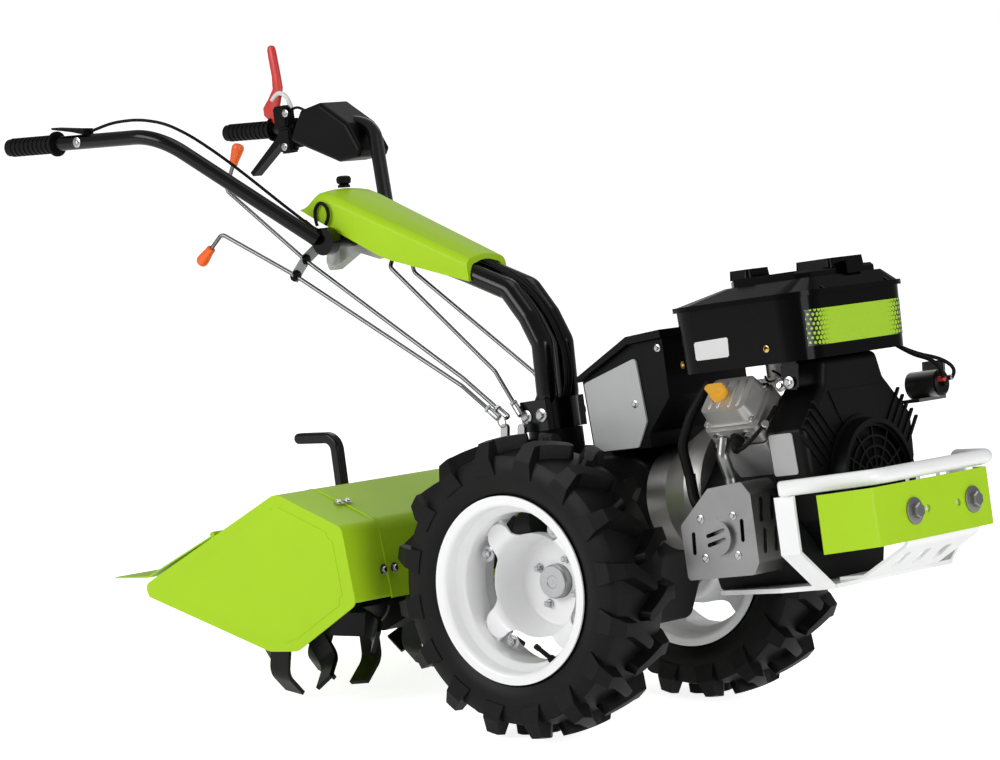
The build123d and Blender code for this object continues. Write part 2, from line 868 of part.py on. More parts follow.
# Grey bracket under the console that carries the handle pivot
with BuildPart() as console_bracket:
    with BuildSketch(Plane.XZ.offset(-14)) as ear:
        with BuildLine():
            Polyline(
                (-440, 640), (-450, 684), (-530, 700), (-556, 676), (-606, 636), (-600, 612), (-530, 644), (-470, 622),
                close=True,
            )
        make_face()
        fillet(ear.vertices(), radius=8)
    extrude(amount=28)
    with BuildSketch(Plane.XZ.offset(-30)):
        with Locations((pivot_x, pivot_z)):
            Circle(handle_radius + running_gap)
    extrude(amount=60, mode=Mode.SUBTRACT)
    with BuildSketch(Plane.XZ.offset(-65)):
        with Locations((-482, 684)):
            Circle(8)
    extrude(amount=130)
keep(console_bracket, "console_bracket")

# Green console cover, a moulded shell open underneath and narrower towards the front
def cover_form(outline, rear_half, front_half):
    with BuildPart() as form:
        with BuildSketch(Plane.XZ.offset(-90)) as silhouette:
            Polygon(*outline, align=None)
            fillet(silhouette.vertices().sort_by(Axis.Y)[-2:], radius=10)
        extrude(amount=180)
        with BuildSketch(Plane.XY.offset(500)) as plan:
            with BuildLine():
                Polyline(
                    (-660, -rear_half), (-560, -rear_half), (-180, -front_half),
                    (-180, front_half), (-560, rear_half), (-660, rear_half),
                    close=True,
                )
            make_face()
        extrude(amount=300, mode=Mode.INTERSECT)
    return form.part


with BuildPart() as console_cover:
    add(cover_form(
        [(-601, 736), (-558, 769), (-536, 766), (-223, 603), (-222, 554), (-412, 619)], 75, 54,
    ))
    fillet(console_cover.faces().sort_by(Axis.Z)[-1].edges(), radius=8)
    add(cover_form(
        [(-640, 700), (-597, 737), (-557, 764), (-537, 761), (-200, 585), (-200, 530), (-412, 560)], 71, 50.5,
    ), mode=Mode.SUBTRACT)
keep(console_cover, "console_cover")

# Zinc rods from the hand knobs down to the selector levers
rod_paths = [
    [(-769, -150, 688), (-738, -150, 711), (-591, -120, 612), (-236, -100, 366), (-172, -84, 298)],
    [(-751, -80, 841), (-778, -80, 797), (-593, -86, 640), (-250, -78, 380), (-158, -76, 298)],
    [(-407, -38, 634), (-407, -60, 603), (-182, -66, 385), (-134, -66, 298)],
    [(-440, 34, 645), (-440, 44, 590), (-183, 44, 374), (-136, 44, 312)],
]
with BuildPart() as gear_rods:
    for points in rod_paths:
        with BuildLine() as route:
            FilletPolyline(*points, radius=12)
        with BuildSketch(Plane(origin=route.line @ 0, z_dir=route.line % 0)):
            Circle(4)
        sweep()
keep(gear_rods, "gear_rods")

with BuildPart() as rod_knobs:
    for points in rod_paths[:2]:
        end = Vector(*points[0])
        away = (end - Vector(*points[1])).normalized()
        with BuildSketch(Plane(origin=end + away * 0.2, z_dir=away)):
            Circle(12)
        extrude(amount=44)
    fillet(rod_knobs.edges().filter_by(GeomType.CIRCLE), radius=5)
keep(rod_knobs, "rod_knobs")

with BuildPart() as rod_clips:
    with BuildSketch(Plane.XZ.offset(14)):
        with Locations((-591, 624)):
            Circle(11)
    extrude(amount=112)
keep(rod_clips, "rod_clips")

# Handlebar: pivot shaft and the two bent handles
with BuildPart() as handle_pivot:
    with BuildSketch(Plane.XZ.offset(-92)):
        with Locations((pivot_x, pivot_z)):
            Circle(handle_radius)
    extrude(amount=184)
    for plane in (Plane.XZ.offset(-92), Plane.XZ.offset(82)):
        with BuildSketch(plane):
            with Locations((pivot_x, pivot_z)):
                Circle(26)
        extrude(amount=10)
keep(handle_pivot, "handle_pivot")


def handle_route(side):
    y = handle_half_gap * side
    return [(-1110, 305 * side, 934), (-722, 305 * side, 905), (pivot_x - 12, y, pivot_z + 6)]


def make_handle(label, side):
    with BuildPart() as handle:
        with BuildLine() as route:
            FilletPolyline(*handle_route(side), radius=110)
        with BuildSketch(Plane(origin=route.line @ 0, z_dir=route.line % 0)):
            Circle(handle_radius)
        sweep()
        with BuildSketch(along_y(side * 92.2)):
            with Locations((pivot_x, pivot_z)):
                Circle(26)
        extrude(amount=-12 * side)
    keep(handle, label)


def make_grip(label, side):
    start = Vector(*handle_route(side)[0])
    forward = (Vector(*handle_route(side)[1]) - start).normalized()
    with BuildPart() as grip:
        with BuildSketch(Plane(origin=start - forward * 6, z_dir=forward)):
            Circle(16.5)
        extrude(amount=134)
        for step in range(9):
            with BuildSketch(Plane(origin=start + forward * (4 + 12 * step), z_dir=forward)):
                Circle(18)
            extrude(amount=7)
        with BuildSketch(Plane(origin=start + forward * 120, z_dir=forward)):
            Circle(24)
        extrude(amount=5)
        with BuildSketch(Plane(origin=start, z_dir=forward)):
            Circle(handle_radius)
        extrude(amount=200, mode=Mode.SUBTRACT)
    keep(grip, label)


for label, side in sides().items():
    make_handle(f"handle_{label}", side)
    make_grip(f"grip_{label}", side)

with BuildPart() as control_housing:
    with BuildSketch(Plane.XZ.offset(-347)):
        with BuildLine():
            Polyline(
                (-908, 893), (-870, 949), (-816, 957), (-750, 907), (-721, 850), (-731, 836), (-786, 834),
                close=True,
            )
        make_face()
    extrude(amount=90)
    fillet(control_housing.edges(), radius=9)
    add(pieces["handle_left"], mode=Mode.SUBTRACT)
keep(control_housing, "control_housing")

# Hand levers: clutch lever under the left grip, throttle lever on the right, red stop lever
with BuildPart() as hand_levers:
    with BuildSketch(Plane.XZ.offset(-318)):
        with BuildLine():
            Polyline((-925, 900), (-955, 900), (-1050, 838), (-1056, 846), (-960, 915), (-925, 912), close=True)
        make_face()
    extrude(amount=26)
    with BuildSketch(Plane.XZ.offset(292)):
        with BuildLine():
            Polyline((-900, 931), (-930, 940), (-985, 952), (-985, 956), (-928, 947), (-900, 943), close=True)
        make_face()
    extrude(amount=26)
    with BuildSketch(Plane.XZ.offset(-322)):
        with Locations((-935, 906)):
            Rectangle(30, 44)
    extrude(amount=34)
    add(pieces["handle_left"], mode=Mode.SUBTRACT)
    add(pieces["handle_right"], mode=Mode.SUBTRACT)
keep(hand_levers, "hand_levers")

with BuildPart() as stop_lever:
    with BuildSketch(Plane.XZ.offset(-312)) as outline:
        with BuildLine():
            Polyline(
                (-976, 922), (-1014, 962), (-972, 1000), (-975, 1090), (-955, 1092), (-946, 1000), (-950, 922),
                close=True,
            )
        make_face()
        fillet(outline.vertices(), radius=5)
    extrude(amount=16)
    add(pieces["grip_left"], mode=Mode.SUBTRACT)
    add(pieces["handle_left"], mode=Mode.SUBTRACT)
keep(stop_lever, "stop_lever")


def cable(points, radius):
    # A control cable: straight runs with an arc at each corner as large as its shorter run allows
    spots = [Vector(*point) for point in points]
    radii = []
    for before, corner, after in zip(spots, spots[1:], spots[2:]):
        turn = (corner - before).get_angle(after - corner)
        shorter = min((corner - before).length, (after - corner).length)
        radii.append(0.45 * shorter / tan(radians(turn / 2)))
    print("cable radii", [round(value) for value in radii])
    with BuildPart() as line:
        with BuildLine() as route:
            FilletPolyline(*spots, radius=radii)
        with BuildSketch(Plane(origin=route.line @ 0, z_dir=route.line % 0)):
            Circle(radius)
        sweep()
    return line.part


# Throttle cable along the right handle, and the two control cables down the front of the column
with BuildPart() as handle_cable:
    add(cable([
        (-898.4, -299, 937), (-850, -290, 946), (-790, -280, 944), (-732, -270, 928), (-688, -252, 898),
        (-650, -216, 852), (-620, -172, 800), (-594, -126, 748), (-576, -92, 712),
    ], 3))
keep(handle_cable, "handle_cable")

column_cable = [
    (-272, 0, 608), (-216, 0, 586), (-162, 0, 556), (-114, 0, 514), (-80, 0, 462), (-62, 0, 402), (-64, 0, 356),
    (-76, 0, turret_top + 58.6),
]
with BuildPart() as column_cables:
    for y in (-5, 5):
        add(cable([(x, y, z) for x, _, z in column_cable], 4))
keep(column_cables, "column_cables")

# Lay every piece into the parked stance, centred fore and aft over the origin
os.makedirs("parts", exist_ok=True)
tilt = Location((0, 0, axle_height), (0, -nose_up, 0))
rear_end = (tilt * pieces["grip_left"]).bounding_box().min.X
front_end = (tilt * pieces["front_plate"]).bounding_box().max.X
parked = Location((-(rear_end + front_end) / 2, 0, 0)) * tilt
print("shift forward", -(rear_end + front_end) / 2)
for label, piece in pieces.items():
    placed = parked * piece
    placed.label = label
    export_step(placed, f"parts/{label}.step")
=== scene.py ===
import math
import bpy
import bmesh
from mathutils import Matrix, Vector


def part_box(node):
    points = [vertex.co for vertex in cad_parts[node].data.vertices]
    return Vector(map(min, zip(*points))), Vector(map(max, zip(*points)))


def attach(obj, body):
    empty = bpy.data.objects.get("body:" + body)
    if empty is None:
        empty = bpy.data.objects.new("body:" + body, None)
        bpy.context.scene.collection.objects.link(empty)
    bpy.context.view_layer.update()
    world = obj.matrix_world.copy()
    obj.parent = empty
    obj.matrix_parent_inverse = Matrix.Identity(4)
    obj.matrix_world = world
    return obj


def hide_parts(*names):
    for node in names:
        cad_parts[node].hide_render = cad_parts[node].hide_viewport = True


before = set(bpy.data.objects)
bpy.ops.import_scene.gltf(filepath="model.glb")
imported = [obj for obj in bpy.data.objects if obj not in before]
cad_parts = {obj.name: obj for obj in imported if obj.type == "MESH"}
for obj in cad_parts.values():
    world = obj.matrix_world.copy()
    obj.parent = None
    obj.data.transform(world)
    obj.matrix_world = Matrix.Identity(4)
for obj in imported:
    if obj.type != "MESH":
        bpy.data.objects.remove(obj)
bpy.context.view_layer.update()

# Places are written in the machine's own level frame, in metres: X forward, Y left, Z up from the axle.
# It parks nose up by the angle set here. The middle of a tyre's box gives the axle's place.
nose_up = math.radians(10)
tyre_low, tyre_high = (Vector(corner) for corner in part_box("tyre_left"))
axle = Vector(((tyre_low.x + tyre_high.x) / 2, 0, (tyre_low.z + tyre_high.z) / 2))
machine = Matrix.Translation(axle) @ Matrix.Rotation(-nose_up, 4, "Y")
side_signs = {"right": -1, "left": 1}


# Materials

def new_material(name):
    made = bpy.data.materials.new(name)
    made.use_nodes = True
    return made, made.node_tree, made.node_tree.nodes["Principled BSDF"]


def node(tree, kind, **values):
    made = tree.nodes.new(kind)
    for key, value in values.items():
        if key in made.inputs:
            made.inputs[key].default_value = value
        else:
            setattr(made, key, value)
    return made


def noise(tree, scale, detail=4.0, roughness=0.55):
    where = node(tree, "ShaderNodeTexCoord")
    made = node(tree, "ShaderNodeTexNoise", Scale=scale, Detail=detail, Roughness=roughness)
    tree.links.new(where.outputs["Object"], made.inputs["Vector"])
    return made


def ramp(tree, source, stops):
    """A colour ramp with one element for each (place, colour) stop."""
    made = tree.nodes.new("ShaderNodeValToRGB")
    elements = made.color_ramp.elements
    while len(elements) < len(stops):
        elements.new(0.5)
    for element, (place, colour) in zip(elements, stops):
        element.position = place
        element.color = (*colour, 1)
    tree.links.new(source, made.inputs["Fac"])
    return made.outputs["Color"]


def vary(tree, source, low, high, target):
    """Spreads a noise between two values and feeds them to a socket."""
    made = node(tree, "ShaderNodeMapRange")
    made.inputs["To Min"].default_value = low
    made.inputs["To Max"].default_value = high
    tree.links.new(source, made.inputs["Value"])
    tree.links.new(made.outputs["Result"], target)


def bump(tree, shader, height, strength, distance):
    made = node(tree, "ShaderNodeBump", Strength=strength, Distance=distance)
    tree.links.new(height, made.inputs["Height"])
    tree.links.new(made.outputs["Normal"], shader.inputs["Normal"])


def shade(colour, factor):
    return tuple(min(1.0, channel * factor) for channel in colour)


patch_scale = 9.0
grain_depth = 0.0006
gloss_spread = 0.2
coat_roughness = 0.08


def surface(name, colour, rough, metal=0.0, coat=0.0, mottle=0.06, grain=220.0, relief=0.02, spec=0.5):
    """A finish with slight mottling in colour and gloss, and fine grain in relief."""
    made, tree, shader = new_material(name)
    patches = noise(tree, patch_scale).outputs["Fac"]
    tint = ramp(tree, patches, [(0.3, shade(colour, 1 - mottle)), (0.7, shade(colour, 1 + mottle))])
    tree.links.new(tint, shader.inputs["Base Color"])
    fine = noise(tree, grain, 3.0)
    duller = min(1.0, rough * (1 + gloss_spread))
    vary(tree, patches, rough * (1 - gloss_spread), duller, shader.inputs["Roughness"])
    shader.inputs["Metallic"].default_value = metal
    shader.inputs["Specular IOR Level"].default_value = spec
    shader.inputs["Coat Weight"].default_value = coat
    shader.inputs["Coat Roughness"].default_value = coat_roughness
    bump(tree, shader, fine.outputs["Fac"], relief, grain_depth)
    return made


def grey(level):
    return (level, level, level)


green = (0.40, 0.655, 0.016)
green_paint = surface("green_paint", green, 0.36, coat=0.04, mottle=0.02, grain=600, relief=0.03, spec=0.16)
green_plastic = surface(
    "green_plastic", green, 0.40, coat=0.04, mottle=0.02, grain=900, relief=0.05, spec=0.14,
)
white_paint = surface("white_paint", (0.92, 0.92, 0.925), 0.3, coat=0.3, mottle=0.015, grain=500, relief=0.03)
black_paint = surface("black_paint", grey(0.0015), 0.20, mottle=0.15, grain=400, relief=0.05, spec=0.32)
black_plastic = surface("black_plastic", grey(0.003), 0.40, mottle=0.15, grain=900, relief=0.12, spec=0.13)
gloss_black = surface("gloss_black", grey(0.001), 0.16, mottle=0.1, grain=300, relief=0.02, spec=0.10)
grey_paint = surface("grey_paint", (0.46, 0.47, 0.47), 0.42, coat=0.1, mottle=0.05, grain=500, relief=0.04)
black_rubber = surface("black_rubber", grey(0.003), 0.5, mottle=0.2, grain=700, relief=0.25, spec=0.14)
tine_black = surface("tine_black", grey(0.002), 0.36, mottle=0.3, grain=180, relief=0.3, spec=0.25)
bare_steel = surface("bare_steel", grey(0.30), 0.34, metal=1.0, mottle=0.12, grain=300, relief=0.08)
zinc = surface("zinc", (0.50, 0.50, 0.51), 0.26, metal=1.0, mottle=0.12, grain=260, relief=0.06)
cast_aluminium = surface(
    "cast_aluminium", (0.50, 0.49, 0.47), 0.40, metal=0.85, mottle=0.14, grain=420, relief=0.35,
)
dark_aluminium = surface(
    "dark_aluminium", (0.02, 0.02, 0.022), 0.5, metal=0.5, mottle=0.2, grain=380, relief=0.35, spec=0.2,
)
dark_iron = surface("dark_iron", (0.004, 0.004, 0.0045), 0.45, mottle=0.25, grain=320, relief=0.4, spec=0.18)
grey_shroud = surface("grey_shroud", grey(0.42), 0.34, metal=0.35, mottle=0.06, grain=300, relief=0.05)
yellow_plastic = surface("yellow_plastic", (0.78, 0.40, 0.03), 0.38, mottle=0.05, grain=800, relief=0.05)
orange_plastic = surface(
    "orange_plastic", (0.90, 0.12, 0.008), 0.32, coat=0.2, mottle=0.04, grain=700, relief=0.04,
)
red_plastic = surface("red_plastic", (0.62, 0.035, 0.03), 0.36, coat=0.1, mottle=0.05, grain=700, relief=0.05)
white_plastic = surface("white_plastic", grey(0.7), 0.4, mottle=0.04, grain=700, relief=0.05)
rod_steel = surface("rod_steel", (0.20, 0.20, 0.21), 0.28, metal=1.0, mottle=0.12, grain=260, relief=0.06)
brass = surface("brass", (0.75, 0.48, 0.16), 0.3, metal=1.0, mottle=0.08, grain=260, relief=0.05)
tyre_rubber = surface("tyre_rubber", grey(0.004), 0.42, mottle=0.3, grain=420, relief=0.3, spec=0.17)

finishes = {
    "tyre_left": tyre_rubber, "tyre_right": tyre_rubber,
    "rim_left": white_paint, "rim_right": white_paint,
    "wheel_disc_left": white_paint, "wheel_disc_right": white_paint,
    "wheel_hub_left": bare_steel, "wheel_hub_right": bare_steel,
    "gearbox_housing": dark_iron, "tiller_gear_case": dark_iron, "selector_levers": zinc,
    "clutch_housing": cast_aluminium, "engine_block": dark_aluminium, "cylinders": cast_aluminium,
    "valve_covers": cast_aluminium, "oil_cap": yellow_plastic, "fan_shroud": black_plastic,
    "fan_grille": black_plastic, "air_box": gloss_black, "air_box_lid": gloss_black, "muffler": bare_steel,
    "muffler_guard": bare_steel, "exhaust_pipe": bare_steel, "breather_hose": black_rubber,
    "solenoid_bracket": bare_steel, "battery_box": black_plastic, "battery_box_cap": black_plastic,
    "battery_box_panels": grey_paint, "engine_base_plate": white_paint, "bumper_bar": white_paint,
    "bumper_strut_left": white_paint, "bumper_strut_right": white_paint, "skid_plate": white_paint,
    "front_plate": green_paint, "tiller_hood": green_paint, "tiller_side_left": green_paint,
    "tiller_side_right": green_paint, "rear_flap": green_paint, "depth_spur": black_paint,
    "rotor_shaft": black_paint, "tines_left": tine_black, "tines_right": tine_black,
    "steering_column": black_paint, "console_bracket": grey_paint, "console_cover": green_plastic,
    "gear_rods": rod_steel, "rod_knobs": orange_plastic, "rod_clips": black_rubber,
    "handle_pivot": black_paint,
    "handle_left": black_paint, "handle_right": black_paint, "grip_left": black_rubber,
    "grip_right": black_rubber, "control_housing": black_plastic, "hand_levers": black_plastic,
    "stop_lever": red_plastic, "cylinder_shrouds": grey_shroud, "intake_manifold": cast_aluminium,
    "handle_cable": black_rubber, "column_cables": black_rubber,
}
for name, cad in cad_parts.items():
    cad.data.materials.clear()
    cad.data.materials.append(finishes[name])


# Making pieces

smooth_up_to = math.radians(32)


def finish_piece(name, mesh, material, body):
    """Puts a mesh into the parked stance, smooth apart from its sharp edges, and has it ride a body."""
    mesh.transform(machine)
    made = bpy.data.objects.new(name, mesh)
    bpy.context.collection.objects.link(made)
    mesh.materials.append(material)
    for face in mesh.polygons:
        face.use_smooth = True
    made.modifiers.new("edges", "EDGE_SPLIT").split_angle = smooth_up_to
    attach(made, body)
    return made


def from_bmesh(name, shape, material, body):
    mesh = bpy.data.meshes.new(name)
    shape.to_mesh(mesh)
    shape.free()
    return finish_piece(name, mesh, material, body)


def turned(centre, axis, x_hint=(0, 0, 1)):
    """A matrix that lays local Z along axis at centre."""
    z = Vector(axis).normalized()
    x = Vector(x_hint)
    x = (x - z * x.dot(z)).normalized()
    y = z.cross(x)
    turn = Matrix((x, y, z)).transposed().to_4x4()
    return Matrix.Translation(Vector(centre)) @ turn


def join_rings(shape, rings):
    """Joins each ring of vertices to the next with a band of faces, and leaves both ends open."""
    for low, high in zip(rings, rings[1:]):
        for index in range(len(low)):
            after = (index + 1) % len(low)
            shape.faces.new((low[index], low[after], high[after], high[index]))


def add_ring(shape, place, profile, segments):
    """Turns a profile of (radius, height) about the local Z of place into a closed round."""
    rings = []
    for radius, height in profile:
        ring = []
        for index in range(segments):
            angle = 2 * math.pi * index / segments
            spot = Vector((radius * math.cos(angle), radius * math.sin(angle), height))
            ring.append(shape.verts.new(place @ spot))
        rings.append(ring)
    join_rings(shape, rings)
    shape.faces.new(rings[-1])
    shape.faces.new(list(reversed(rings[0])))


def lathe(name, centre, axis, profile, material, body, segments=32):
    shape = bmesh.new()
    add_ring(shape, turned(centre, axis), profile, segments)
    return from_bmesh(name, shape, material, body)


def add_bolt(shape, centre, axis, size):
    """A hexagon head about size across, over a thin washer."""
    place = turned(centre, axis)
    washer = [(size * 0.98, 0), (size * 0.98, size * 0.14), (size * 0.9, size * 0.18)]
    head = [(size * 0.56, size * 0.1), (size * 0.58, size * 0.5), (size * 0.5, size * 0.62)]
    add_ring(shape, place, washer, 24)
    add_ring(shape, place, head, 6)


def bolts(name, spots, size, material, body):
    shape = bmesh.new()
    for centre, axis in spots:
        add_bolt(shape, centre, axis, size)
    return from_bmesh(name, shape, material, body)


def tube(name, points, radius, material, body):
    """A cable or pipe along a smooth line near the points, turned into a mesh."""
    curve = bpy.data.curves.new(name, "CURVE")
    curve.dimensions = "3D"
    curve.bevel_depth = radius
    curve.bevel_resolution = 3
    curve.use_fill_caps = True
    spline = curve.splines.new("NURBS")
    spline.points.add(len(points) - 1)
    for spot, point in zip(spline.points, points):
        spot.co = (*point, 1)
    spline.order_u = 3
    spline.use_endpoint_u = True
    spline.resolution_u = 8
    carrier = bpy.data.objects.new(name + "_line", curve)
    mesh = bpy.data.meshes.new_from_object(carrier)
    bpy.data.objects.remove(carrier)
    bpy.data.curves.remove(curve)
    return finish_piece(name, mesh, material, body)


def panel(name, corners, thickness, material, body, rounding):
    """A thin plate through the corners, in order, with rounded corners."""
    shape = bmesh.new()
    face = shape.faces.new([shape.verts.new(corner) for corner in corners])
    face.normal_update()
    grown = bmesh.ops.extrude_face_region(shape, geom=[face])
    normal = face.normal.copy()
    tops = [item for item in grown["geom"] if isinstance(item, bmesh.types.BMVert)]
    bmesh.ops.translate(shape, verts=tops, vec=normal * thickness)
    bmesh.ops.recalc_face_normals(shape, faces=shape.faces)
    upright = []
    for edge in shape.edges:
        rise = abs((edge.verts[0].co - edge.verts[1].co).dot(normal))
        if rise > thickness * 0.9:
            upright.append(edge)
    bmesh.ops.bevel(shape, geom=upright, offset=rounding, segments=3, affect="EDGES")
    return from_bmesh(name, shape, material, body)


# Wheels

lobes = 4
lobe_angle = 34
lobe_reach = 0.115
disc_face = 0.2535
lobe_bolt_face = 0.2548
stud_reach = 0.0465
hub_face = 0.179
hub_end = 0.2012
valve_angle = math.radians(-68)
valve_reach = 0.139
valve_across = 0.2936


def wheel_hardware(side_name):
    side = side_signs[side_name]
    body = "wheel_" + side_name
    out = (0, side, 0)
    lobe_spots, hub_spots, studs = [], [], bmesh.new()
    for lobe in range(lobes):
        angle = math.radians(lobe_angle + 360 / lobes * lobe)
        x, z = math.cos(angle), -math.sin(angle)
        lobe_spots.append(((lobe_reach * x, side * lobe_bolt_face, lobe_reach * z), out))
        hub_spots.append(((stud_reach * x, side * hub_face, stud_reach * z), out))
        hub_stud = turned((stud_reach * x, side * hub_face, stud_reach * z), out)
        add_ring(studs, hub_stud, [(0.0052, 0.004), (0.0052, 0.0175), (0.004, 0.019)], 14)
        lobe_stud = turned((lobe_reach * x, side * disc_face, lobe_reach * z), out)
        add_ring(studs, lobe_stud, [(0.0055, 0.0), (0.0055, 0.011), (0.0045, 0.0125)], 14)
    bolts("lobe_bolts_" + side_name, lobe_spots, 0.015, zinc, body)
    bolts("hub_bolts_" + side_name, hub_spots, 0.0155, zinc, body)
    from_bmesh("studs_" + side_name, studs, zinc, body)
    lathe("hub_cap_" + side_name, (0, side * hub_end, 0), out, [
        (0.0285, -0.002), (0.0292, 0.0005), (0.0275, 0.002), (0.012, 0.0022), (0.0105, 0.0008),
        (0.0035, 0.0008), (0.003, 0.0014),
    ], zinc, body, 40)
    x, z = math.cos(valve_angle), math.sin(valve_angle)
    valve_foot = (valve_reach * x, side * valve_across, valve_reach * z)
    lathe("valve_stem_" + side_name, valve_foot, (-0.75 * x, side * 0.66, -0.75 * z), [
        (0.0075, -0.004), (0.0075, 0.003), (0.0045, 0.008), (0.0042, 0.030), (0.0052, 0.031),
        (0.0052, 0.040), (0.004, 0.041),
    ], black_rubber, body, 16)


for side_name in side_signs:
    wheel_hardware(side_name)


# Front plate and the lugs that carry it under the bumper bar

plate_face = 0.717
plate_bolt_height = 0.0575
skid_face = -0.0563
lug_x = 0.693
lug_top = 0.112
lug_bottom = 0.098
lug_half = 0.016

bolts("front_plate_bolts", [
    ((plate_face, y, plate_bolt_height), (1, 0, 0)) for y in (-0.089, 0.089)
], 0.024, bare_steel, "tractor")
bolts("skid_bolts", [
    ((0.58, y, skid_face), (0, 0, -1)) for y in (-0.13, 0.0, 0.13)
], 0.013, zinc, "tractor")
for index, y in enumerate((-0.046, 0.046)):
    tube("bar_lug_%d" % index, [
        (lug_x, y - lug_half, lug_top), (lug_x, y - lug_half, lug_bottom),
        (lug_x, y + lug_half, lug_bottom), (lug_x, y + lug_half, lug_top),
    ], 0.0035, white_paint, "tractor")


# Top housing: green band with dots on its front, plain label and brass inserts

dot_pitch = 0.0092
row_share = 0.866
plain_half = 0.088
dot_start = 0.60
dot_fade = 7.6


def dotted_green():
    """Green that breaks up into round dots towards both ends, over the gloss black."""
    made, tree, shader = new_material("dotted_green")
    where = node(tree, "ShaderNodeTexCoord")
    split = node(tree, "ShaderNodeSeparateXYZ")
    tree.links.new(where.outputs["Object"], split.inputs["Vector"])

    def calc(kind, left, right=None):
        step = node(tree, "ShaderNodeMath", operation=kind)
        for socket, value in zip(step.inputs, (left, right)):
            if value is None:
                continue
            if isinstance(value, (int, float)):
                socket.default_value = value
            else:
                tree.links.new(value, socket)
        return step.outputs[0]

    along = split.outputs["Y"]
    row = calc("DIVIDE", split.outputs["Z"], dot_pitch * row_share)
    row_index = calc("FLOOR", row)
    half = calc("MULTIPLY", calc("MODULO", calc("ABSOLUTE", row_index), 2.0), 0.5)
    column = calc("ADD", calc("DIVIDE", along, dot_pitch), half)
    u = calc("SUBTRACT", calc("FRACT", column), 0.5)
    v = calc("MULTIPLY", calc("SUBTRACT", calc("FRACT", row), 0.5), row_share)
    reach = calc("SQRT", calc("ADD", calc("MULTIPLY", u, u), calc("MULTIPLY", v, v)))
    away = calc("SUBTRACT", calc("ABSOLUTE", along), plain_half)
    size = calc("SUBTRACT", dot_start, calc("MULTIPLY", away, dot_fade))
    mixed = node(tree, "ShaderNodeMix", data_type="RGBA")
    tree.links.new(calc("LESS_THAN", reach, size), mixed.inputs["Factor"])
    mixed.inputs["A"].default_value = (0.008, 0.008, 0.009, 1)
    mixed.inputs["B"].default_value = (0.37, 0.62, 0.018, 1)
    tree.links.new(mixed.outputs["Result"], shader.inputs["Base Color"])
    fine = noise(tree, 300.0, 2.0)
    vary(tree, fine.outputs["Fac"], 0.24, 0.34, shader.inputs["Roughness"])
    return made


band_half = 0.142
band_steps = 40
band_face = 0.5955
flat_half = 0.110
corner_radius = 0.055
band_edges = [(0.357, 0.0033), (0.419, 0.0008)]


def front_band():
    """The band bends with the housing's front, from the flat round its two corners."""
    shape = bmesh.new()
    rows = []
    for z, setback in band_edges:
        line = []
        for index in range(band_steps + 1):
            y = -band_half + 2 * band_half * index / band_steps
            over = max(0.0, abs(y) - flat_half)
            x = band_face - setback - (corner_radius - math.sqrt(corner_radius ** 2 - over ** 2))
            line.append(shape.verts.new((x, y, z)))
        rows.append(line)
    low, high = rows
    for index in range(band_steps):
        shape.faces.new((low[index], low[index + 1], high[index + 1], high[index]))
    return from_bmesh("front_band", shape, dotted_green(), "tractor")


front_band()

insert_spots = [((0.509, -0.1612, 0.362), (0, -1, 0.03)), ((0.3135, -0.1475, 0.353), (-0.6, -0.8, 0))]
for index, (spot, axis) in enumerate(insert_spots):
    lathe("insert_%d" % index, spot, axis, [
        (0.0062, -0.001), (0.0062, 0.0022), (0.0042, 0.003), (0.004, 0.0008), (0.0012, 0.0008),
    ], brass, "tractor", 20)
panel("blank_label", [
    (0.356, -0.1632, 0.389), (0.355, -0.1620, 0.357), (0.427, -0.1620, 0.357), (0.430, -0.1632, 0.391),
], 0.0006, white_plastic, "tractor", 0.002)


# Engine

crank_height = 0.115
cylinder_x = {-1: 0.426, 1: 0.396}
cover_bolt_reach = 0.2222
cover_top_reach = 0.2515
cover_half = 0.030
head_side = 0.049


def vee(side, x, across, reach):
    """A point beside one cylinder: reach runs along its axis from the crank, across runs outward and down."""
    slant = math.sqrt(0.5)
    return (x, side * slant * (reach + across), crank_height + slant * (reach - across))


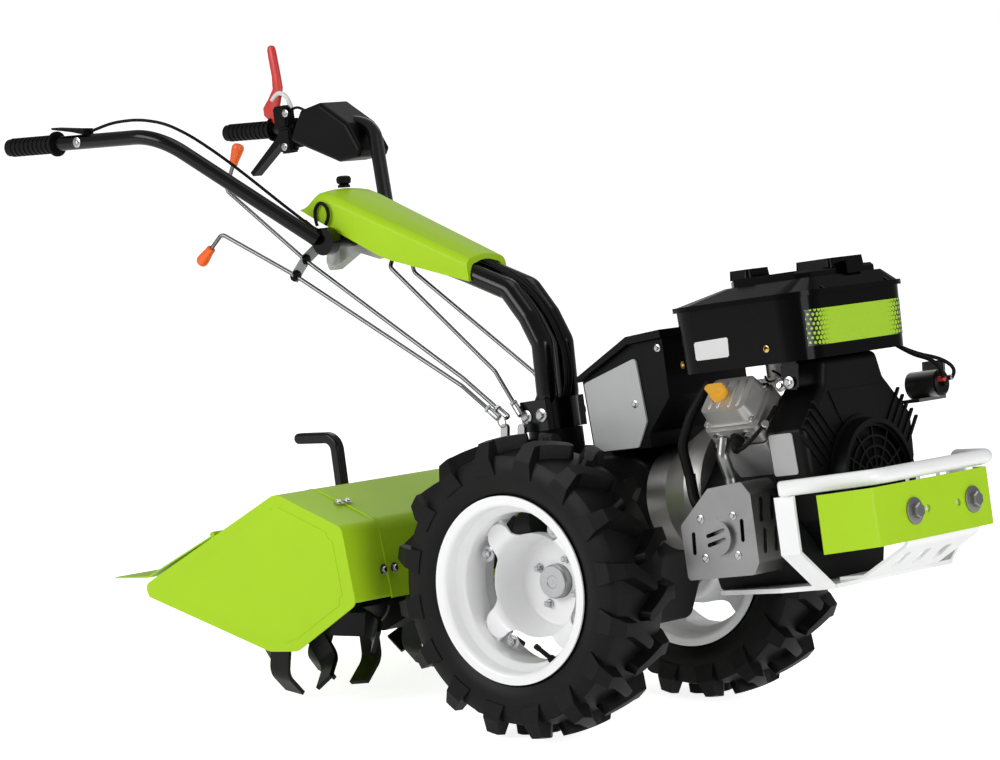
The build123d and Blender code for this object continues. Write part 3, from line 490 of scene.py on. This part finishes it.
def engine_side(side_name):
    """The bolts, cover ribs, plug boot, plug lead and its clamp at one cylinder."""
    side = side_signs[side_name]
    x = cylinder_x[side]
    lean = (0, side, 1)
    outward = (0, side, -1)
    cover_spots = []
    for dx in (-0.047, 0.047):
        for across in (-0.036, 0.036):
            cover_spots.append((vee(side, x + dx, across, cover_bolt_reach), lean))
    bolts("cover_bolts_" + side_name, cover_spots, 0.0085, zinc, "tractor")
    head_spots = [(vee(side, x + dx, head_side, 0.198), outward) for dx in (-0.032, 0.030)]
    bolts("head_bolts_" + side_name, head_spots, 0.012, zinc, "tractor")
    ribs = bmesh.new()
    for offset in (-0.030, -0.012, 0.012, 0.030):
        low = Vector(vee(side, x + offset, -cover_half, cover_top_reach))
        high = Vector(vee(side, x + offset, cover_half, cover_top_reach))
        axis = high - low
        rib = [(0.0016, 0), (0.0032, 0.003), (0.0032, axis.length - 0.003), (0.0016, axis.length)]
        add_ring(ribs, turned(low, axis), rib, 10)
    from_bmesh("cover_ribs_" + side_name, ribs, cast_aluminium, "tractor")
    plug = Vector(vee(side, x + 0.002, head_side, 0.192))
    plug_way = (0.5, side, -0.9)
    lathe("plug_boot_" + side_name, plug, plug_way, [
        (0.013, -0.002), (0.013, 0.004), (0.0095, 0.007), (0.0105, 0.022), (0.0085, 0.030), (0.006, 0.034),
    ], black_rubber, "tractor", 24)
    tip = plug + Vector(plug_way).normalized() * 0.030
    tube("plug_lead_" + side_name, [
        tuple(tip), (tip.x + 0.012, tip.y + side * 0.006, tip.z - 0.002),
        (tip.x + 0.032, tip.y + side * 0.004, tip.z + 0.010), (0.492, side * 0.186, 0.228),
        (0.500, side * 0.172, 0.242), (0.502, side * 0.150, 0.262),
    ], 0.0036, black_rubber, "tractor")
    lathe("lead_clamp_" + side_name, (0.497, side * 0.178, 0.234), (0.5, side * 0.6, 0.4), [
        (0.006, -0.006), (0.0075, -0.004), (0.0075, 0.004), (0.006, 0.006),
    ], zinc, "tractor", 16)


for side_name in side_signs:
    engine_side(side_name)

guard_face = -0.217
guard_corners = [(0.361, 0.086), (0.431, 0.086), (0.361, 0.018), (0.431, 0.018)]
bolts("guard_corner_bolts", [
    ((x, guard_face, z), (0, -1, 0)) for x, z in guard_corners
], 0.0075, zinc, "tractor")
bracket_plane = -0.1385
panel("governor_bracket", [
    (0.514, bracket_plane, 0.3345), (0.517, bracket_plane, 0.289),
    (0.546, bracket_plane, 0.286), (0.552, bracket_plane, 0.3345),
], 0.003, black_paint, "tractor", 0.004)
bolts("governor_bolts", [
    ((0.532, -0.1415, 0.300), (0, -1, 0)), ((0.505, -0.130, 0.296), (0, -1, 0.2)),
], 0.011, zinc, "tractor")
linkages = [
    [(0.440, -0.060, 0.322), (0.470, -0.085, 0.318), (0.500, -0.110, 0.300), (0.520, -0.132, 0.292)],
    [(0.430, -0.070, 0.314), (0.452, -0.098, 0.306), (0.486, -0.126, 0.304), (0.512, -0.136, 0.310)],
]
for index, points in enumerate(linkages):
    tube("linkage_%d" % index, points, 0.0022, zinc, "tractor")
tube("breather_elbow", [
    (0.296, -0.146, 0.162), (0.297, -0.147, 0.140), (0.303, -0.152, 0.118), (0.316, -0.160, 0.102),
    (0.332, -0.166, 0.094),
], 0.0098, black_rubber, "tractor")
bolts("battery_bolts", [
    ((0.175, -0.1202, 0.295), (0, -1, 0)), ((0.238, -0.116, 0.388), (0, -1, 0)),
    ((0.175, 0.1202, 0.295), (0, 1, 0)), ((0.238, 0.116, 0.388), (0, 1, 0)),
], 0.007, zinc, "tractor")

terminal_x = 0.606
terminal_z = 0.268
lathe("solenoid_cap", (0.602, 0.210, 0.261), (1, 0, 0), [
    (0.0225, -0.003), (0.0225, 0.002), (0.018, 0.005), (0.007, 0.005), (0.007, 0.010), (0.004, 0.011),
], black_plastic, "tractor", 32)
for index, (y, terminal_finish) in enumerate(((0.198, red_plastic), (0.222, zinc))):
    lathe("terminal_%d" % index, (terminal_x, y, terminal_z), (1, 0, 0), [
        (0.005, 0), (0.005, 0.012), (0.0035, 0.014),
    ], terminal_finish, "tractor", 16)
tube("solenoid_lead", [
    (0.616, 0.198, 0.268), (0.622, 0.190, 0.285), (0.606, 0.180, 0.306), (0.575, 0.168, 0.318),
    (0.545, 0.160, 0.342),
], 0.0038, black_rubber, "tractor")
tube("solenoid_lead_back", [
    (0.618, 0.222, 0.268), (0.624, 0.232, 0.280), (0.606, 0.214, 0.304), (0.570, 0.186, 0.318),
    (0.535, 0.172, 0.342),
], 0.0034, black_rubber, "tractor")


# Gearbox, column and rods

gear_bolt_ring = 0.098
gear_ring_height = 0.02
gearbox_face = 0.0748
gear_bolt_count = 8


def gearbox_bolts():
    """A ring of bolts on each flank of the gearbox."""
    spots = []
    for side in (-1, 1):
        for index in range(gear_bolt_count):
            angle = math.radians(22.5) + math.tau * index / gear_bolt_count
            x, z = gear_bolt_ring * math.cos(angle), gear_ring_height + gear_bolt_ring * math.sin(angle)
            spots.append(((x, side * gearbox_face, z), (0, side, 0)))
    bolts("gearbox_bolts", spots, 0.012, zinc, "tractor")


gearbox_bolts()

clamp_face = 0.056
clamp_height = 0.294
clamp_bolts = []
for x in (-0.130, -0.094):
    for side in (-1, 1):
        clamp_bolts.append(((x, side * clamp_face, clamp_height), (0, side, 0)))
bolts("clamp_bolts", clamp_bolts, 0.013, zinc, "column")

# Each rod's lower end, and the bend above it
rod_ends = [
    ((-0.172, -0.084, 0.298), (-0.236, -0.100, 0.366)), ((-0.158, -0.076, 0.298), (-0.250, -0.078, 0.380)),
    ((-0.134, -0.066, 0.298), (-0.182, -0.066, 0.385)), ((-0.136, 0.044, 0.312), (-0.183, 0.044, 0.374)),
]


def rod_fittings():
    """A round socket and its lock nut at each rod's lower end."""
    shape = bmesh.new()
    for end, above in rod_ends:
        place = turned(end, Vector(above) - Vector(end))
        add_ring(shape, place, [(0.0048, -0.001), (0.0068, 0.002), (0.0068, 0.022), (0.0048, 0.026)], 16)
        add_ring(shape, place, [(0.0078, 0.026), (0.0078, 0.031)], 6)
    from_bmesh("rod_fittings", shape, zinc, "column")


rod_fittings()

ring_pin_radius = 0.011


def ring_pin():
    """An open wire ring at the lower end of the near rods."""
    place = turned((-0.160, -0.092, 0.292), (0.2, 1, 0.1))
    points = []
    for index in range(13):
        angle = math.radians(20 + 26.5 * index)
        spot = Vector((ring_pin_radius * math.cos(angle), ring_pin_radius * math.sin(angle), 0))
        points.append(tuple(place @ spot))
    tube("ring_pin_near", points, 0.0014, zinc, "column")


ring_pin()

# The bent plate that carries the two outer rods in rubber grommets
clip_route = [
    (-0.562, -0.016, 0.668), (-0.588, -0.050, 0.662), (-0.593, -0.086, 0.640), (-0.591, -0.124, 0.609),
]
clip_half_thick = 0.0018
clip_half_wide = 0.011
clip_overrun = 0.003


def clip_plate():
    shape = bmesh.new()
    section = [
        (-clip_half_thick, -clip_half_wide), (clip_half_thick, -clip_half_wide),
        (clip_half_thick, clip_half_wide), (-clip_half_thick, clip_half_wide),
    ]
    for start, end in zip(clip_route, clip_route[1:]):
        reach = Vector(end) - Vector(start)
        place = turned(start, reach, (1, 0, 0))
        rings = []
        for height in (-clip_overrun, reach.length + clip_overrun):
            rings.append([shape.verts.new(place @ Vector((x, y, height))) for x, y in section])
        join_rings(shape, rings)
        shape.faces.new(rings[1])
        shape.faces.new(list(reversed(rings[0])))
    bmesh.ops.bevel(shape, geom=shape.edges[:], offset=0.0008, segments=2, affect="EDGES")
    plate = from_bmesh("clip_plate", shape, grey_paint, "column")
    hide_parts("rod_clips")


clip_plate()
rod_way = (0.355, 0.020, -0.246)
for index, spot in enumerate(((-0.591, -0.120, 0.612), (-0.593, -0.086, 0.640))):
    lathe("grommet_%d" % index, spot, rod_way, [
        (0.0045, -0.007), (0.0095, -0.006), (0.0115, -0.002), (0.0085, 0.0), (0.0115, 0.002),
        (0.0095, 0.006), (0.0045, 0.007),
    ], black_rubber, "column", 24)


# Console

cover_rear = -0.600
cover_front = -0.2235
cover_skin = 0.003
cover_lip = 0.010
cover_shoulder = 0.018
cover_crown = 0.005
cover_top = [
    (-0.601, 0.7362), (-0.580, 0.7525), (-0.566, 0.7620), (-0.554, 0.7668), (-0.540, 0.7650),
    (-0.520, 0.7568), (-0.223, 0.6030),
]
cover_bottom = [(-0.601, 0.7355), (-0.430, 0.6300), (-0.412, 0.6200), (-0.390, 0.6120), (-0.223, 0.5545)]
cover_width = [(-0.601, 0.075), (-0.560, 0.075), (-0.223, 0.0563)]


def between(table, x):
    """The value at x on straight lines between the table's (x, value) points."""
    for (left, low), (right, high) in zip(table, table[1:]):
        if x <= right:
            return low + (high - low) * (x - left) / (right - left)
    return table[-1][1]


def cover_section(shape, x, inset):
    """One arch across the cover: straight flanks, round shoulders and a low crown."""
    top = between(cover_top, x) - inset
    low = between(cover_bottom, x)
    half = between(cover_width, x) - inset
    shoulder = max(0.0004, min(cover_shoulder, (top - low) * 0.75))
    flank = [(-half, low), (-half, max(low, top - shoulder - cover_crown))]
    for step in range(1, 8):
        angle = math.pi / 2 * step / 8
        across = -half + shoulder * (1 - math.cos(angle))
        flank.append((across, top - shoulder * (1 - math.sin(angle)) - cover_crown))
    middle = half - shoulder
    crown = []
    for step in range(7):
        y = -middle + middle * 2 * step / 6
        crown.append((y, top - cover_crown * (y / middle) ** 2))
    spots = flank + crown + [(-y, z) for y, z in reversed(flank)]
    return [shape.verts.new((x, y, max(low, z))) for y, z in spots]


def cover_shell():
    shape = bmesh.new()
    stations = [cover_rear + 0.0075 * step for step in range(11)]
    stations += [-0.510 + 0.022 * step for step in range(13)] + [cover_front]
    outer = [cover_section(shape, x, 0.0) for x in stations]
    inner = [cover_section(shape, x, cover_skin) for x in stations]
    lip = cover_section(shape, cover_front, cover_lip)
    skin = outer + [lip] + list(reversed(inner[:-1]))
    for near, far in zip(skin, skin[1:]):
        for index in range(len(near) - 1):
            shape.faces.new((near[index], near[index + 1], far[index + 1], far[index]))
    for index in range(len(outer[0]) - 1):
        shape.faces.new((outer[0][index + 1], outer[0][index], inner[0][index], inner[0][index + 1]))
    for end in (0, -1):
        for row in range(len(stations) - 2):
            shape.faces.new((outer[row][end], outer[row + 1][end], inner[row + 1][end], inner[row][end]))
        shape.faces.new((outer[-2][end], outer[-1][end], lip[end], inner[-2][end]))
    bmesh.ops.recalc_face_normals(shape, faces=shape.faces[:])
    shell = from_bmesh("cover_shell", shape, green_plastic, "column")
    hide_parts("console_cover")


cover_shell()

# Pear-shaped knobs on the two outer rods, each from the rod's end away from its last bend
knob_ends = [
    ((-0.769, -0.150, 0.688), (-0.738, -0.150, 0.711)),
    ((-0.751, -0.080, 0.841), (-0.778, -0.080, 0.797)),
]


def knobs():
    """The knob pair, each turned from a profile along its rod's end."""
    shape = bmesh.new()
    for end, before in knob_ends:
        add_ring(shape, turned(end, Vector(end) - Vector(before)), [
            (0.0065, 0.0002), (0.0085, 0.002), (0.0088, 0.010), (0.0118, 0.031), (0.0118, 0.037),
            (0.0095, 0.042), (0.004, 0.0442),
        ], 28)
    knob_pair = from_bmesh("knob_pair", shape, orange_plastic, "column")
    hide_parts("rod_knobs")


knobs()

tube("cable_boot", [
    (-0.576, -0.092, 0.712), (-0.566, -0.089, 0.7005), (-0.556, -0.086, 0.692), (-0.543, -0.083, 0.687),
], 0.0046, black_rubber, "handlebar")
lathe("console_knob", (-0.548, 0.0, 0.7675), (0.1, 0, 1), [
    (0.012, 0), (0.012, 0.004), (0.009, 0.006), (0.0135, 0.009), (0.0145, 0.016), (0.012, 0.021),
    (0.006, 0.0225),
], black_plastic, "column", 28)
tube("console_loop", [
    (-0.557, -0.0795, 0.700), (-0.562, -0.080, 0.722), (-0.546, -0.0805, 0.744), (-0.527, -0.0805, 0.736),
    (-0.523, -0.080, 0.712), (-0.536, -0.0795, 0.700),
], 0.0034, black_rubber, "column")
lathe("latch_knob", (-0.560, -0.030, 0.664), (-0.35, -0.1, -0.93), [
    (0.004, 0), (0.005, 0.008), (0.010, 0.012), (0.0125, 0.022), (0.0125, 0.032), (0.010, 0.040),
    (0.005, 0.043),
], grey_paint, "column", 28)


# Hand controls

lever_y = 0.304
lever_segments = 24
# Middle, height, half width fore and aft, half thickness across
lever_sections = [
    (-0.9625, 0.923, 0.010, 0.005), (-0.970, 0.936, 0.017, 0.0075), (-0.984, 0.955, 0.024, 0.008),
    (-0.985, 0.970, 0.023, 0.008), (-0.972, 0.988, 0.017, 0.008), (-0.962, 1.004, 0.0125, 0.008),
    (-0.9615, 1.030, 0.0105, 0.008), (-0.964, 1.065, 0.0105, 0.008), (-0.965, 1.083, 0.0098, 0.0078),
    (-0.965, 1.0895, 0.0075, 0.0062), (-0.965, 1.0918, 0.0030, 0.003),
]


def stop_lever():
    shape = bmesh.new()
    rings = []
    for x, z, half, depth in lever_sections:
        ring = []
        for step in range(lever_segments):
            angle = math.tau * step / lever_segments
            ring.append(shape.verts.new((x + half * math.cos(angle), lever_y + depth * math.sin(angle), z)))
        rings.append(ring)
    join_rings(shape, rings)
    shape.faces.new(list(reversed(rings[0])))
    shape.faces.new(rings[-1])
    red_lever = from_bmesh("red_lever", shape, red_plastic, "handlebar")
    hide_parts("stop_lever")


stop_lever()
bolts("throttle_bolt", [((-0.920, -0.3190, 0.9195), (0, -1, 0))], 0.010, zinc, "handlebar")
for name, spot in (("left_clamp", (-0.930, 0.305, 0.9205)), ("left_clamp_rear", (-0.952, 0.305, 0.9222))):
    lathe(name, spot, (-1, 0, 0.075), [
        (0.0145, -0.007), (0.0195, -0.006), (0.0195, 0.006), (0.0145, 0.007),
    ], black_plastic, "handlebar", 32)
tube("thumb_lever", [
    (-0.976, 0.298, 0.982), (-0.962, 0.297, 0.994), (-0.944, 0.296, 0.993), (-0.930, 0.297, 0.978),
    (-0.926, 0.298, 0.955),
], 0.0048, white_plastic, "handlebar")


def switch_body():
    """Two rounded blocks that hold the thumb lever and the cables at the left handle."""
    shape = bmesh.new()
    switch_blocks = [
        ((-0.944, 0.292, 0.944), (0.036, 0.030, 0.046)),
        ((-0.938, 0.290, 0.896), (0.032, 0.026, 0.050)),
    ]
    for centre, size in switch_blocks:
        block = bmesh.ops.create_cube(shape, size=1.0)
        bmesh.ops.scale(shape, verts=block["verts"], vec=size)
        bmesh.ops.translate(shape, verts=block["verts"], vec=centre)
    bmesh.ops.bevel(shape, geom=shape.edges[:], offset=0.004, segments=3, affect="EDGES")
    from_bmesh("switch_body", shape, black_plastic, "handlebar")


switch_body()

bolts("switch_bolts", [
    ((-0.926, 0.277, 0.950), (0, -1, 0)), ((-0.940, 0.277, 0.884), (0, -1, 0)),
], 0.008, zinc, "handlebar")
tube("clutch_cable", [
    (-0.926, 0.294, 0.956), (-0.914, 0.296, 0.960), (-0.900, 0.298, 0.956), (-0.884, 0.300, 0.944),
], 0.0028, black_rubber, "handlebar")
tube("drive_cable", [
    (-0.926, 0.290, 0.882), (-0.908, 0.291, 0.880), (-0.888, 0.294, 0.884), (-0.868, 0.298, 0.892),
], 0.0028, black_rubber, "handlebar")


# Tiller hood: the pressed field of each side pan, the bolts at both seams and the beads over them

pan_face = 0.3508
pan_middle = (-0.560, 0.060)
pan_outline = [
    (-0.504, 0.217), (-0.352, 0.142), (-0.341, 0.001), (-0.500, -0.075), (-0.569, -0.071), (-0.866, 0.060),
]
press_share = 0.87


def pan_presses():
    """A thin raised field on each side pan, the pan's outline drawn in towards its middle."""
    middle_x, middle_z = pan_middle
    press_corners = []
    for x, z in pan_outline:
        press_corners.append((
            middle_x + (x - middle_x) * press_share, middle_z + (z - middle_z) * press_share,
        ))
    for index, (side, line) in enumerate(((-1, list(reversed(press_corners))), (1, press_corners))):
        corners = [(x, side * pan_face, z) for x, z in line]
        panel("pan_press_%d" % index, corners, 0.0016, green_paint, "tractor", 0.012)


pan_presses()

top_slope = (0.442, 0, 0.897)
bolts("hood_bolts", [
    ((-0.430, y, 0.1842), top_slope) for y in (-0.262, -0.238, 0.238, 0.262)
], 0.009, zinc, "tractor")
bolts("hood_front_bolts", [
    ((-0.3405, y, 0.055), (1, 0, -0.04)) for y in (-0.265, -0.235, 0.235, 0.265)
], 0.010, zinc, "tractor")
seam_line = [
    (-0.868, 0.0745), (-0.845, 0.0835), (-0.530, 0.2078), (-0.504, 0.2150), (-0.478, 0.2055),
    (-0.376, 0.1560), (-0.3545, 0.1400), (-0.3500, 0.1180), (-0.3405, 0.004),
]
for index, y in enumerate((-0.2502, 0.2502)):
    tube("seam_bead_%d" % index, [(x, y, z) for x, z in seam_line], 0.0019, green_paint, "tractor")


# Camera, floor and light

eye = machine.translation + Vector((4.8018, -6.1360, 1.5328 - axle.z))
target = machine.translation + Vector((-0.2888, 0.0, 0.592 - axle.z))
camera_data = bpy.data.cameras.new("camera")
camera_data.lens = 156.3
camera_data.sensor_width = 36
camera = bpy.data.objects.new("camera", camera_data)
camera.location = eye
camera.rotation_euler = (target - eye).to_track_quat("-Z", "Y").to_euler()
bpy.context.collection.objects.link(camera)
bpy.context.scene.camera = camera


def white_floor():
    """A pale floor that looks white to the camera and lights the underside less."""
    shape = bmesh.new()
    bmesh.ops.create_grid(shape, x_segments=1, y_segments=1, size=30)
    mesh = bpy.data.meshes.new("floor")
    shape.to_mesh(mesh)
    shape.free()
    floor = bpy.data.objects.new("floor", mesh)
    bpy.context.collection.objects.link(floor)
    made, tree, shader = new_material("floor_white")
    shader.inputs["Base Color"].default_value = (0.9, 0.9, 0.9, 1)
    shader.inputs["Roughness"].default_value = 0.9
    shader.inputs["Specular IOR Level"].default_value = 0.0
    shader.inputs["Emission Color"].default_value = (1, 1, 1, 1)
    path = tree.nodes.new("ShaderNodeLightPath")
    vary(tree, path.outputs["Is Camera Ray"], 0.30, 0.86, shader.inputs["Emission Strength"])
    mesh.materials.append(made)


def white_sky():
    """White to the camera, and dimmer as a light on the machine."""
    world = bpy.data.worlds.new("studio")
    bpy.context.scene.world = world
    world.use_nodes = True
    tree = world.node_tree
    back = tree.nodes["Background"]
    back.inputs["Color"].default_value = (1, 1, 1, 1)
    back.inputs["Strength"].default_value = 0.30
    seen = tree.nodes.new("ShaderNodeBackground")
    seen.inputs["Color"].default_value = (1, 1, 1, 1)
    seen.inputs["Strength"].default_value = 1.0
    path = tree.nodes.new("ShaderNodeLightPath")
    mix = tree.nodes.new("ShaderNodeMixShader")
    tree.links.new(path.outputs["Is Camera Ray"], mix.inputs["Fac"])
    tree.links.new(back.outputs["Background"], mix.inputs[1])
    tree.links.new(seen.outputs["Background"], mix.inputs[2])
    tree.links.new(mix.outputs["Shader"], tree.nodes["World Output"].inputs["Surface"])


def softbox(name, place, aim, width, height, power):
    data = bpy.data.lights.new(name, "AREA")
    data.shape = "RECTANGLE"
    data.size = width
    data.size_y = height
    data.energy = power
    light = bpy.data.objects.new(name, data)
    light.location = place
    light.rotation_euler = (Vector(aim) - Vector(place)).to_track_quat("-Z", "Y").to_euler()
    bpy.context.collection.objects.link(light)


white_floor()
white_sky()
softbox("key", (-1.8, -4.4, 2.4), (-0.1, 0, 0.5), 3.2, 2.2, 120)
softbox("front", (4.6, -1.0, 1.6), (0.1, 0, 0.5), 2.0, 2.4, 70)
softbox("above", (0.4, 0.6, 4.2), (0, 0, 0.4), 3.0, 2.0, 26)
softbox("back", (-2.6, 3.6, 2.8), (-0.2, 0, 0.7), 2.4, 1.6, 9)
bpy.context.scene.view_settings.view_transform = "Standard"
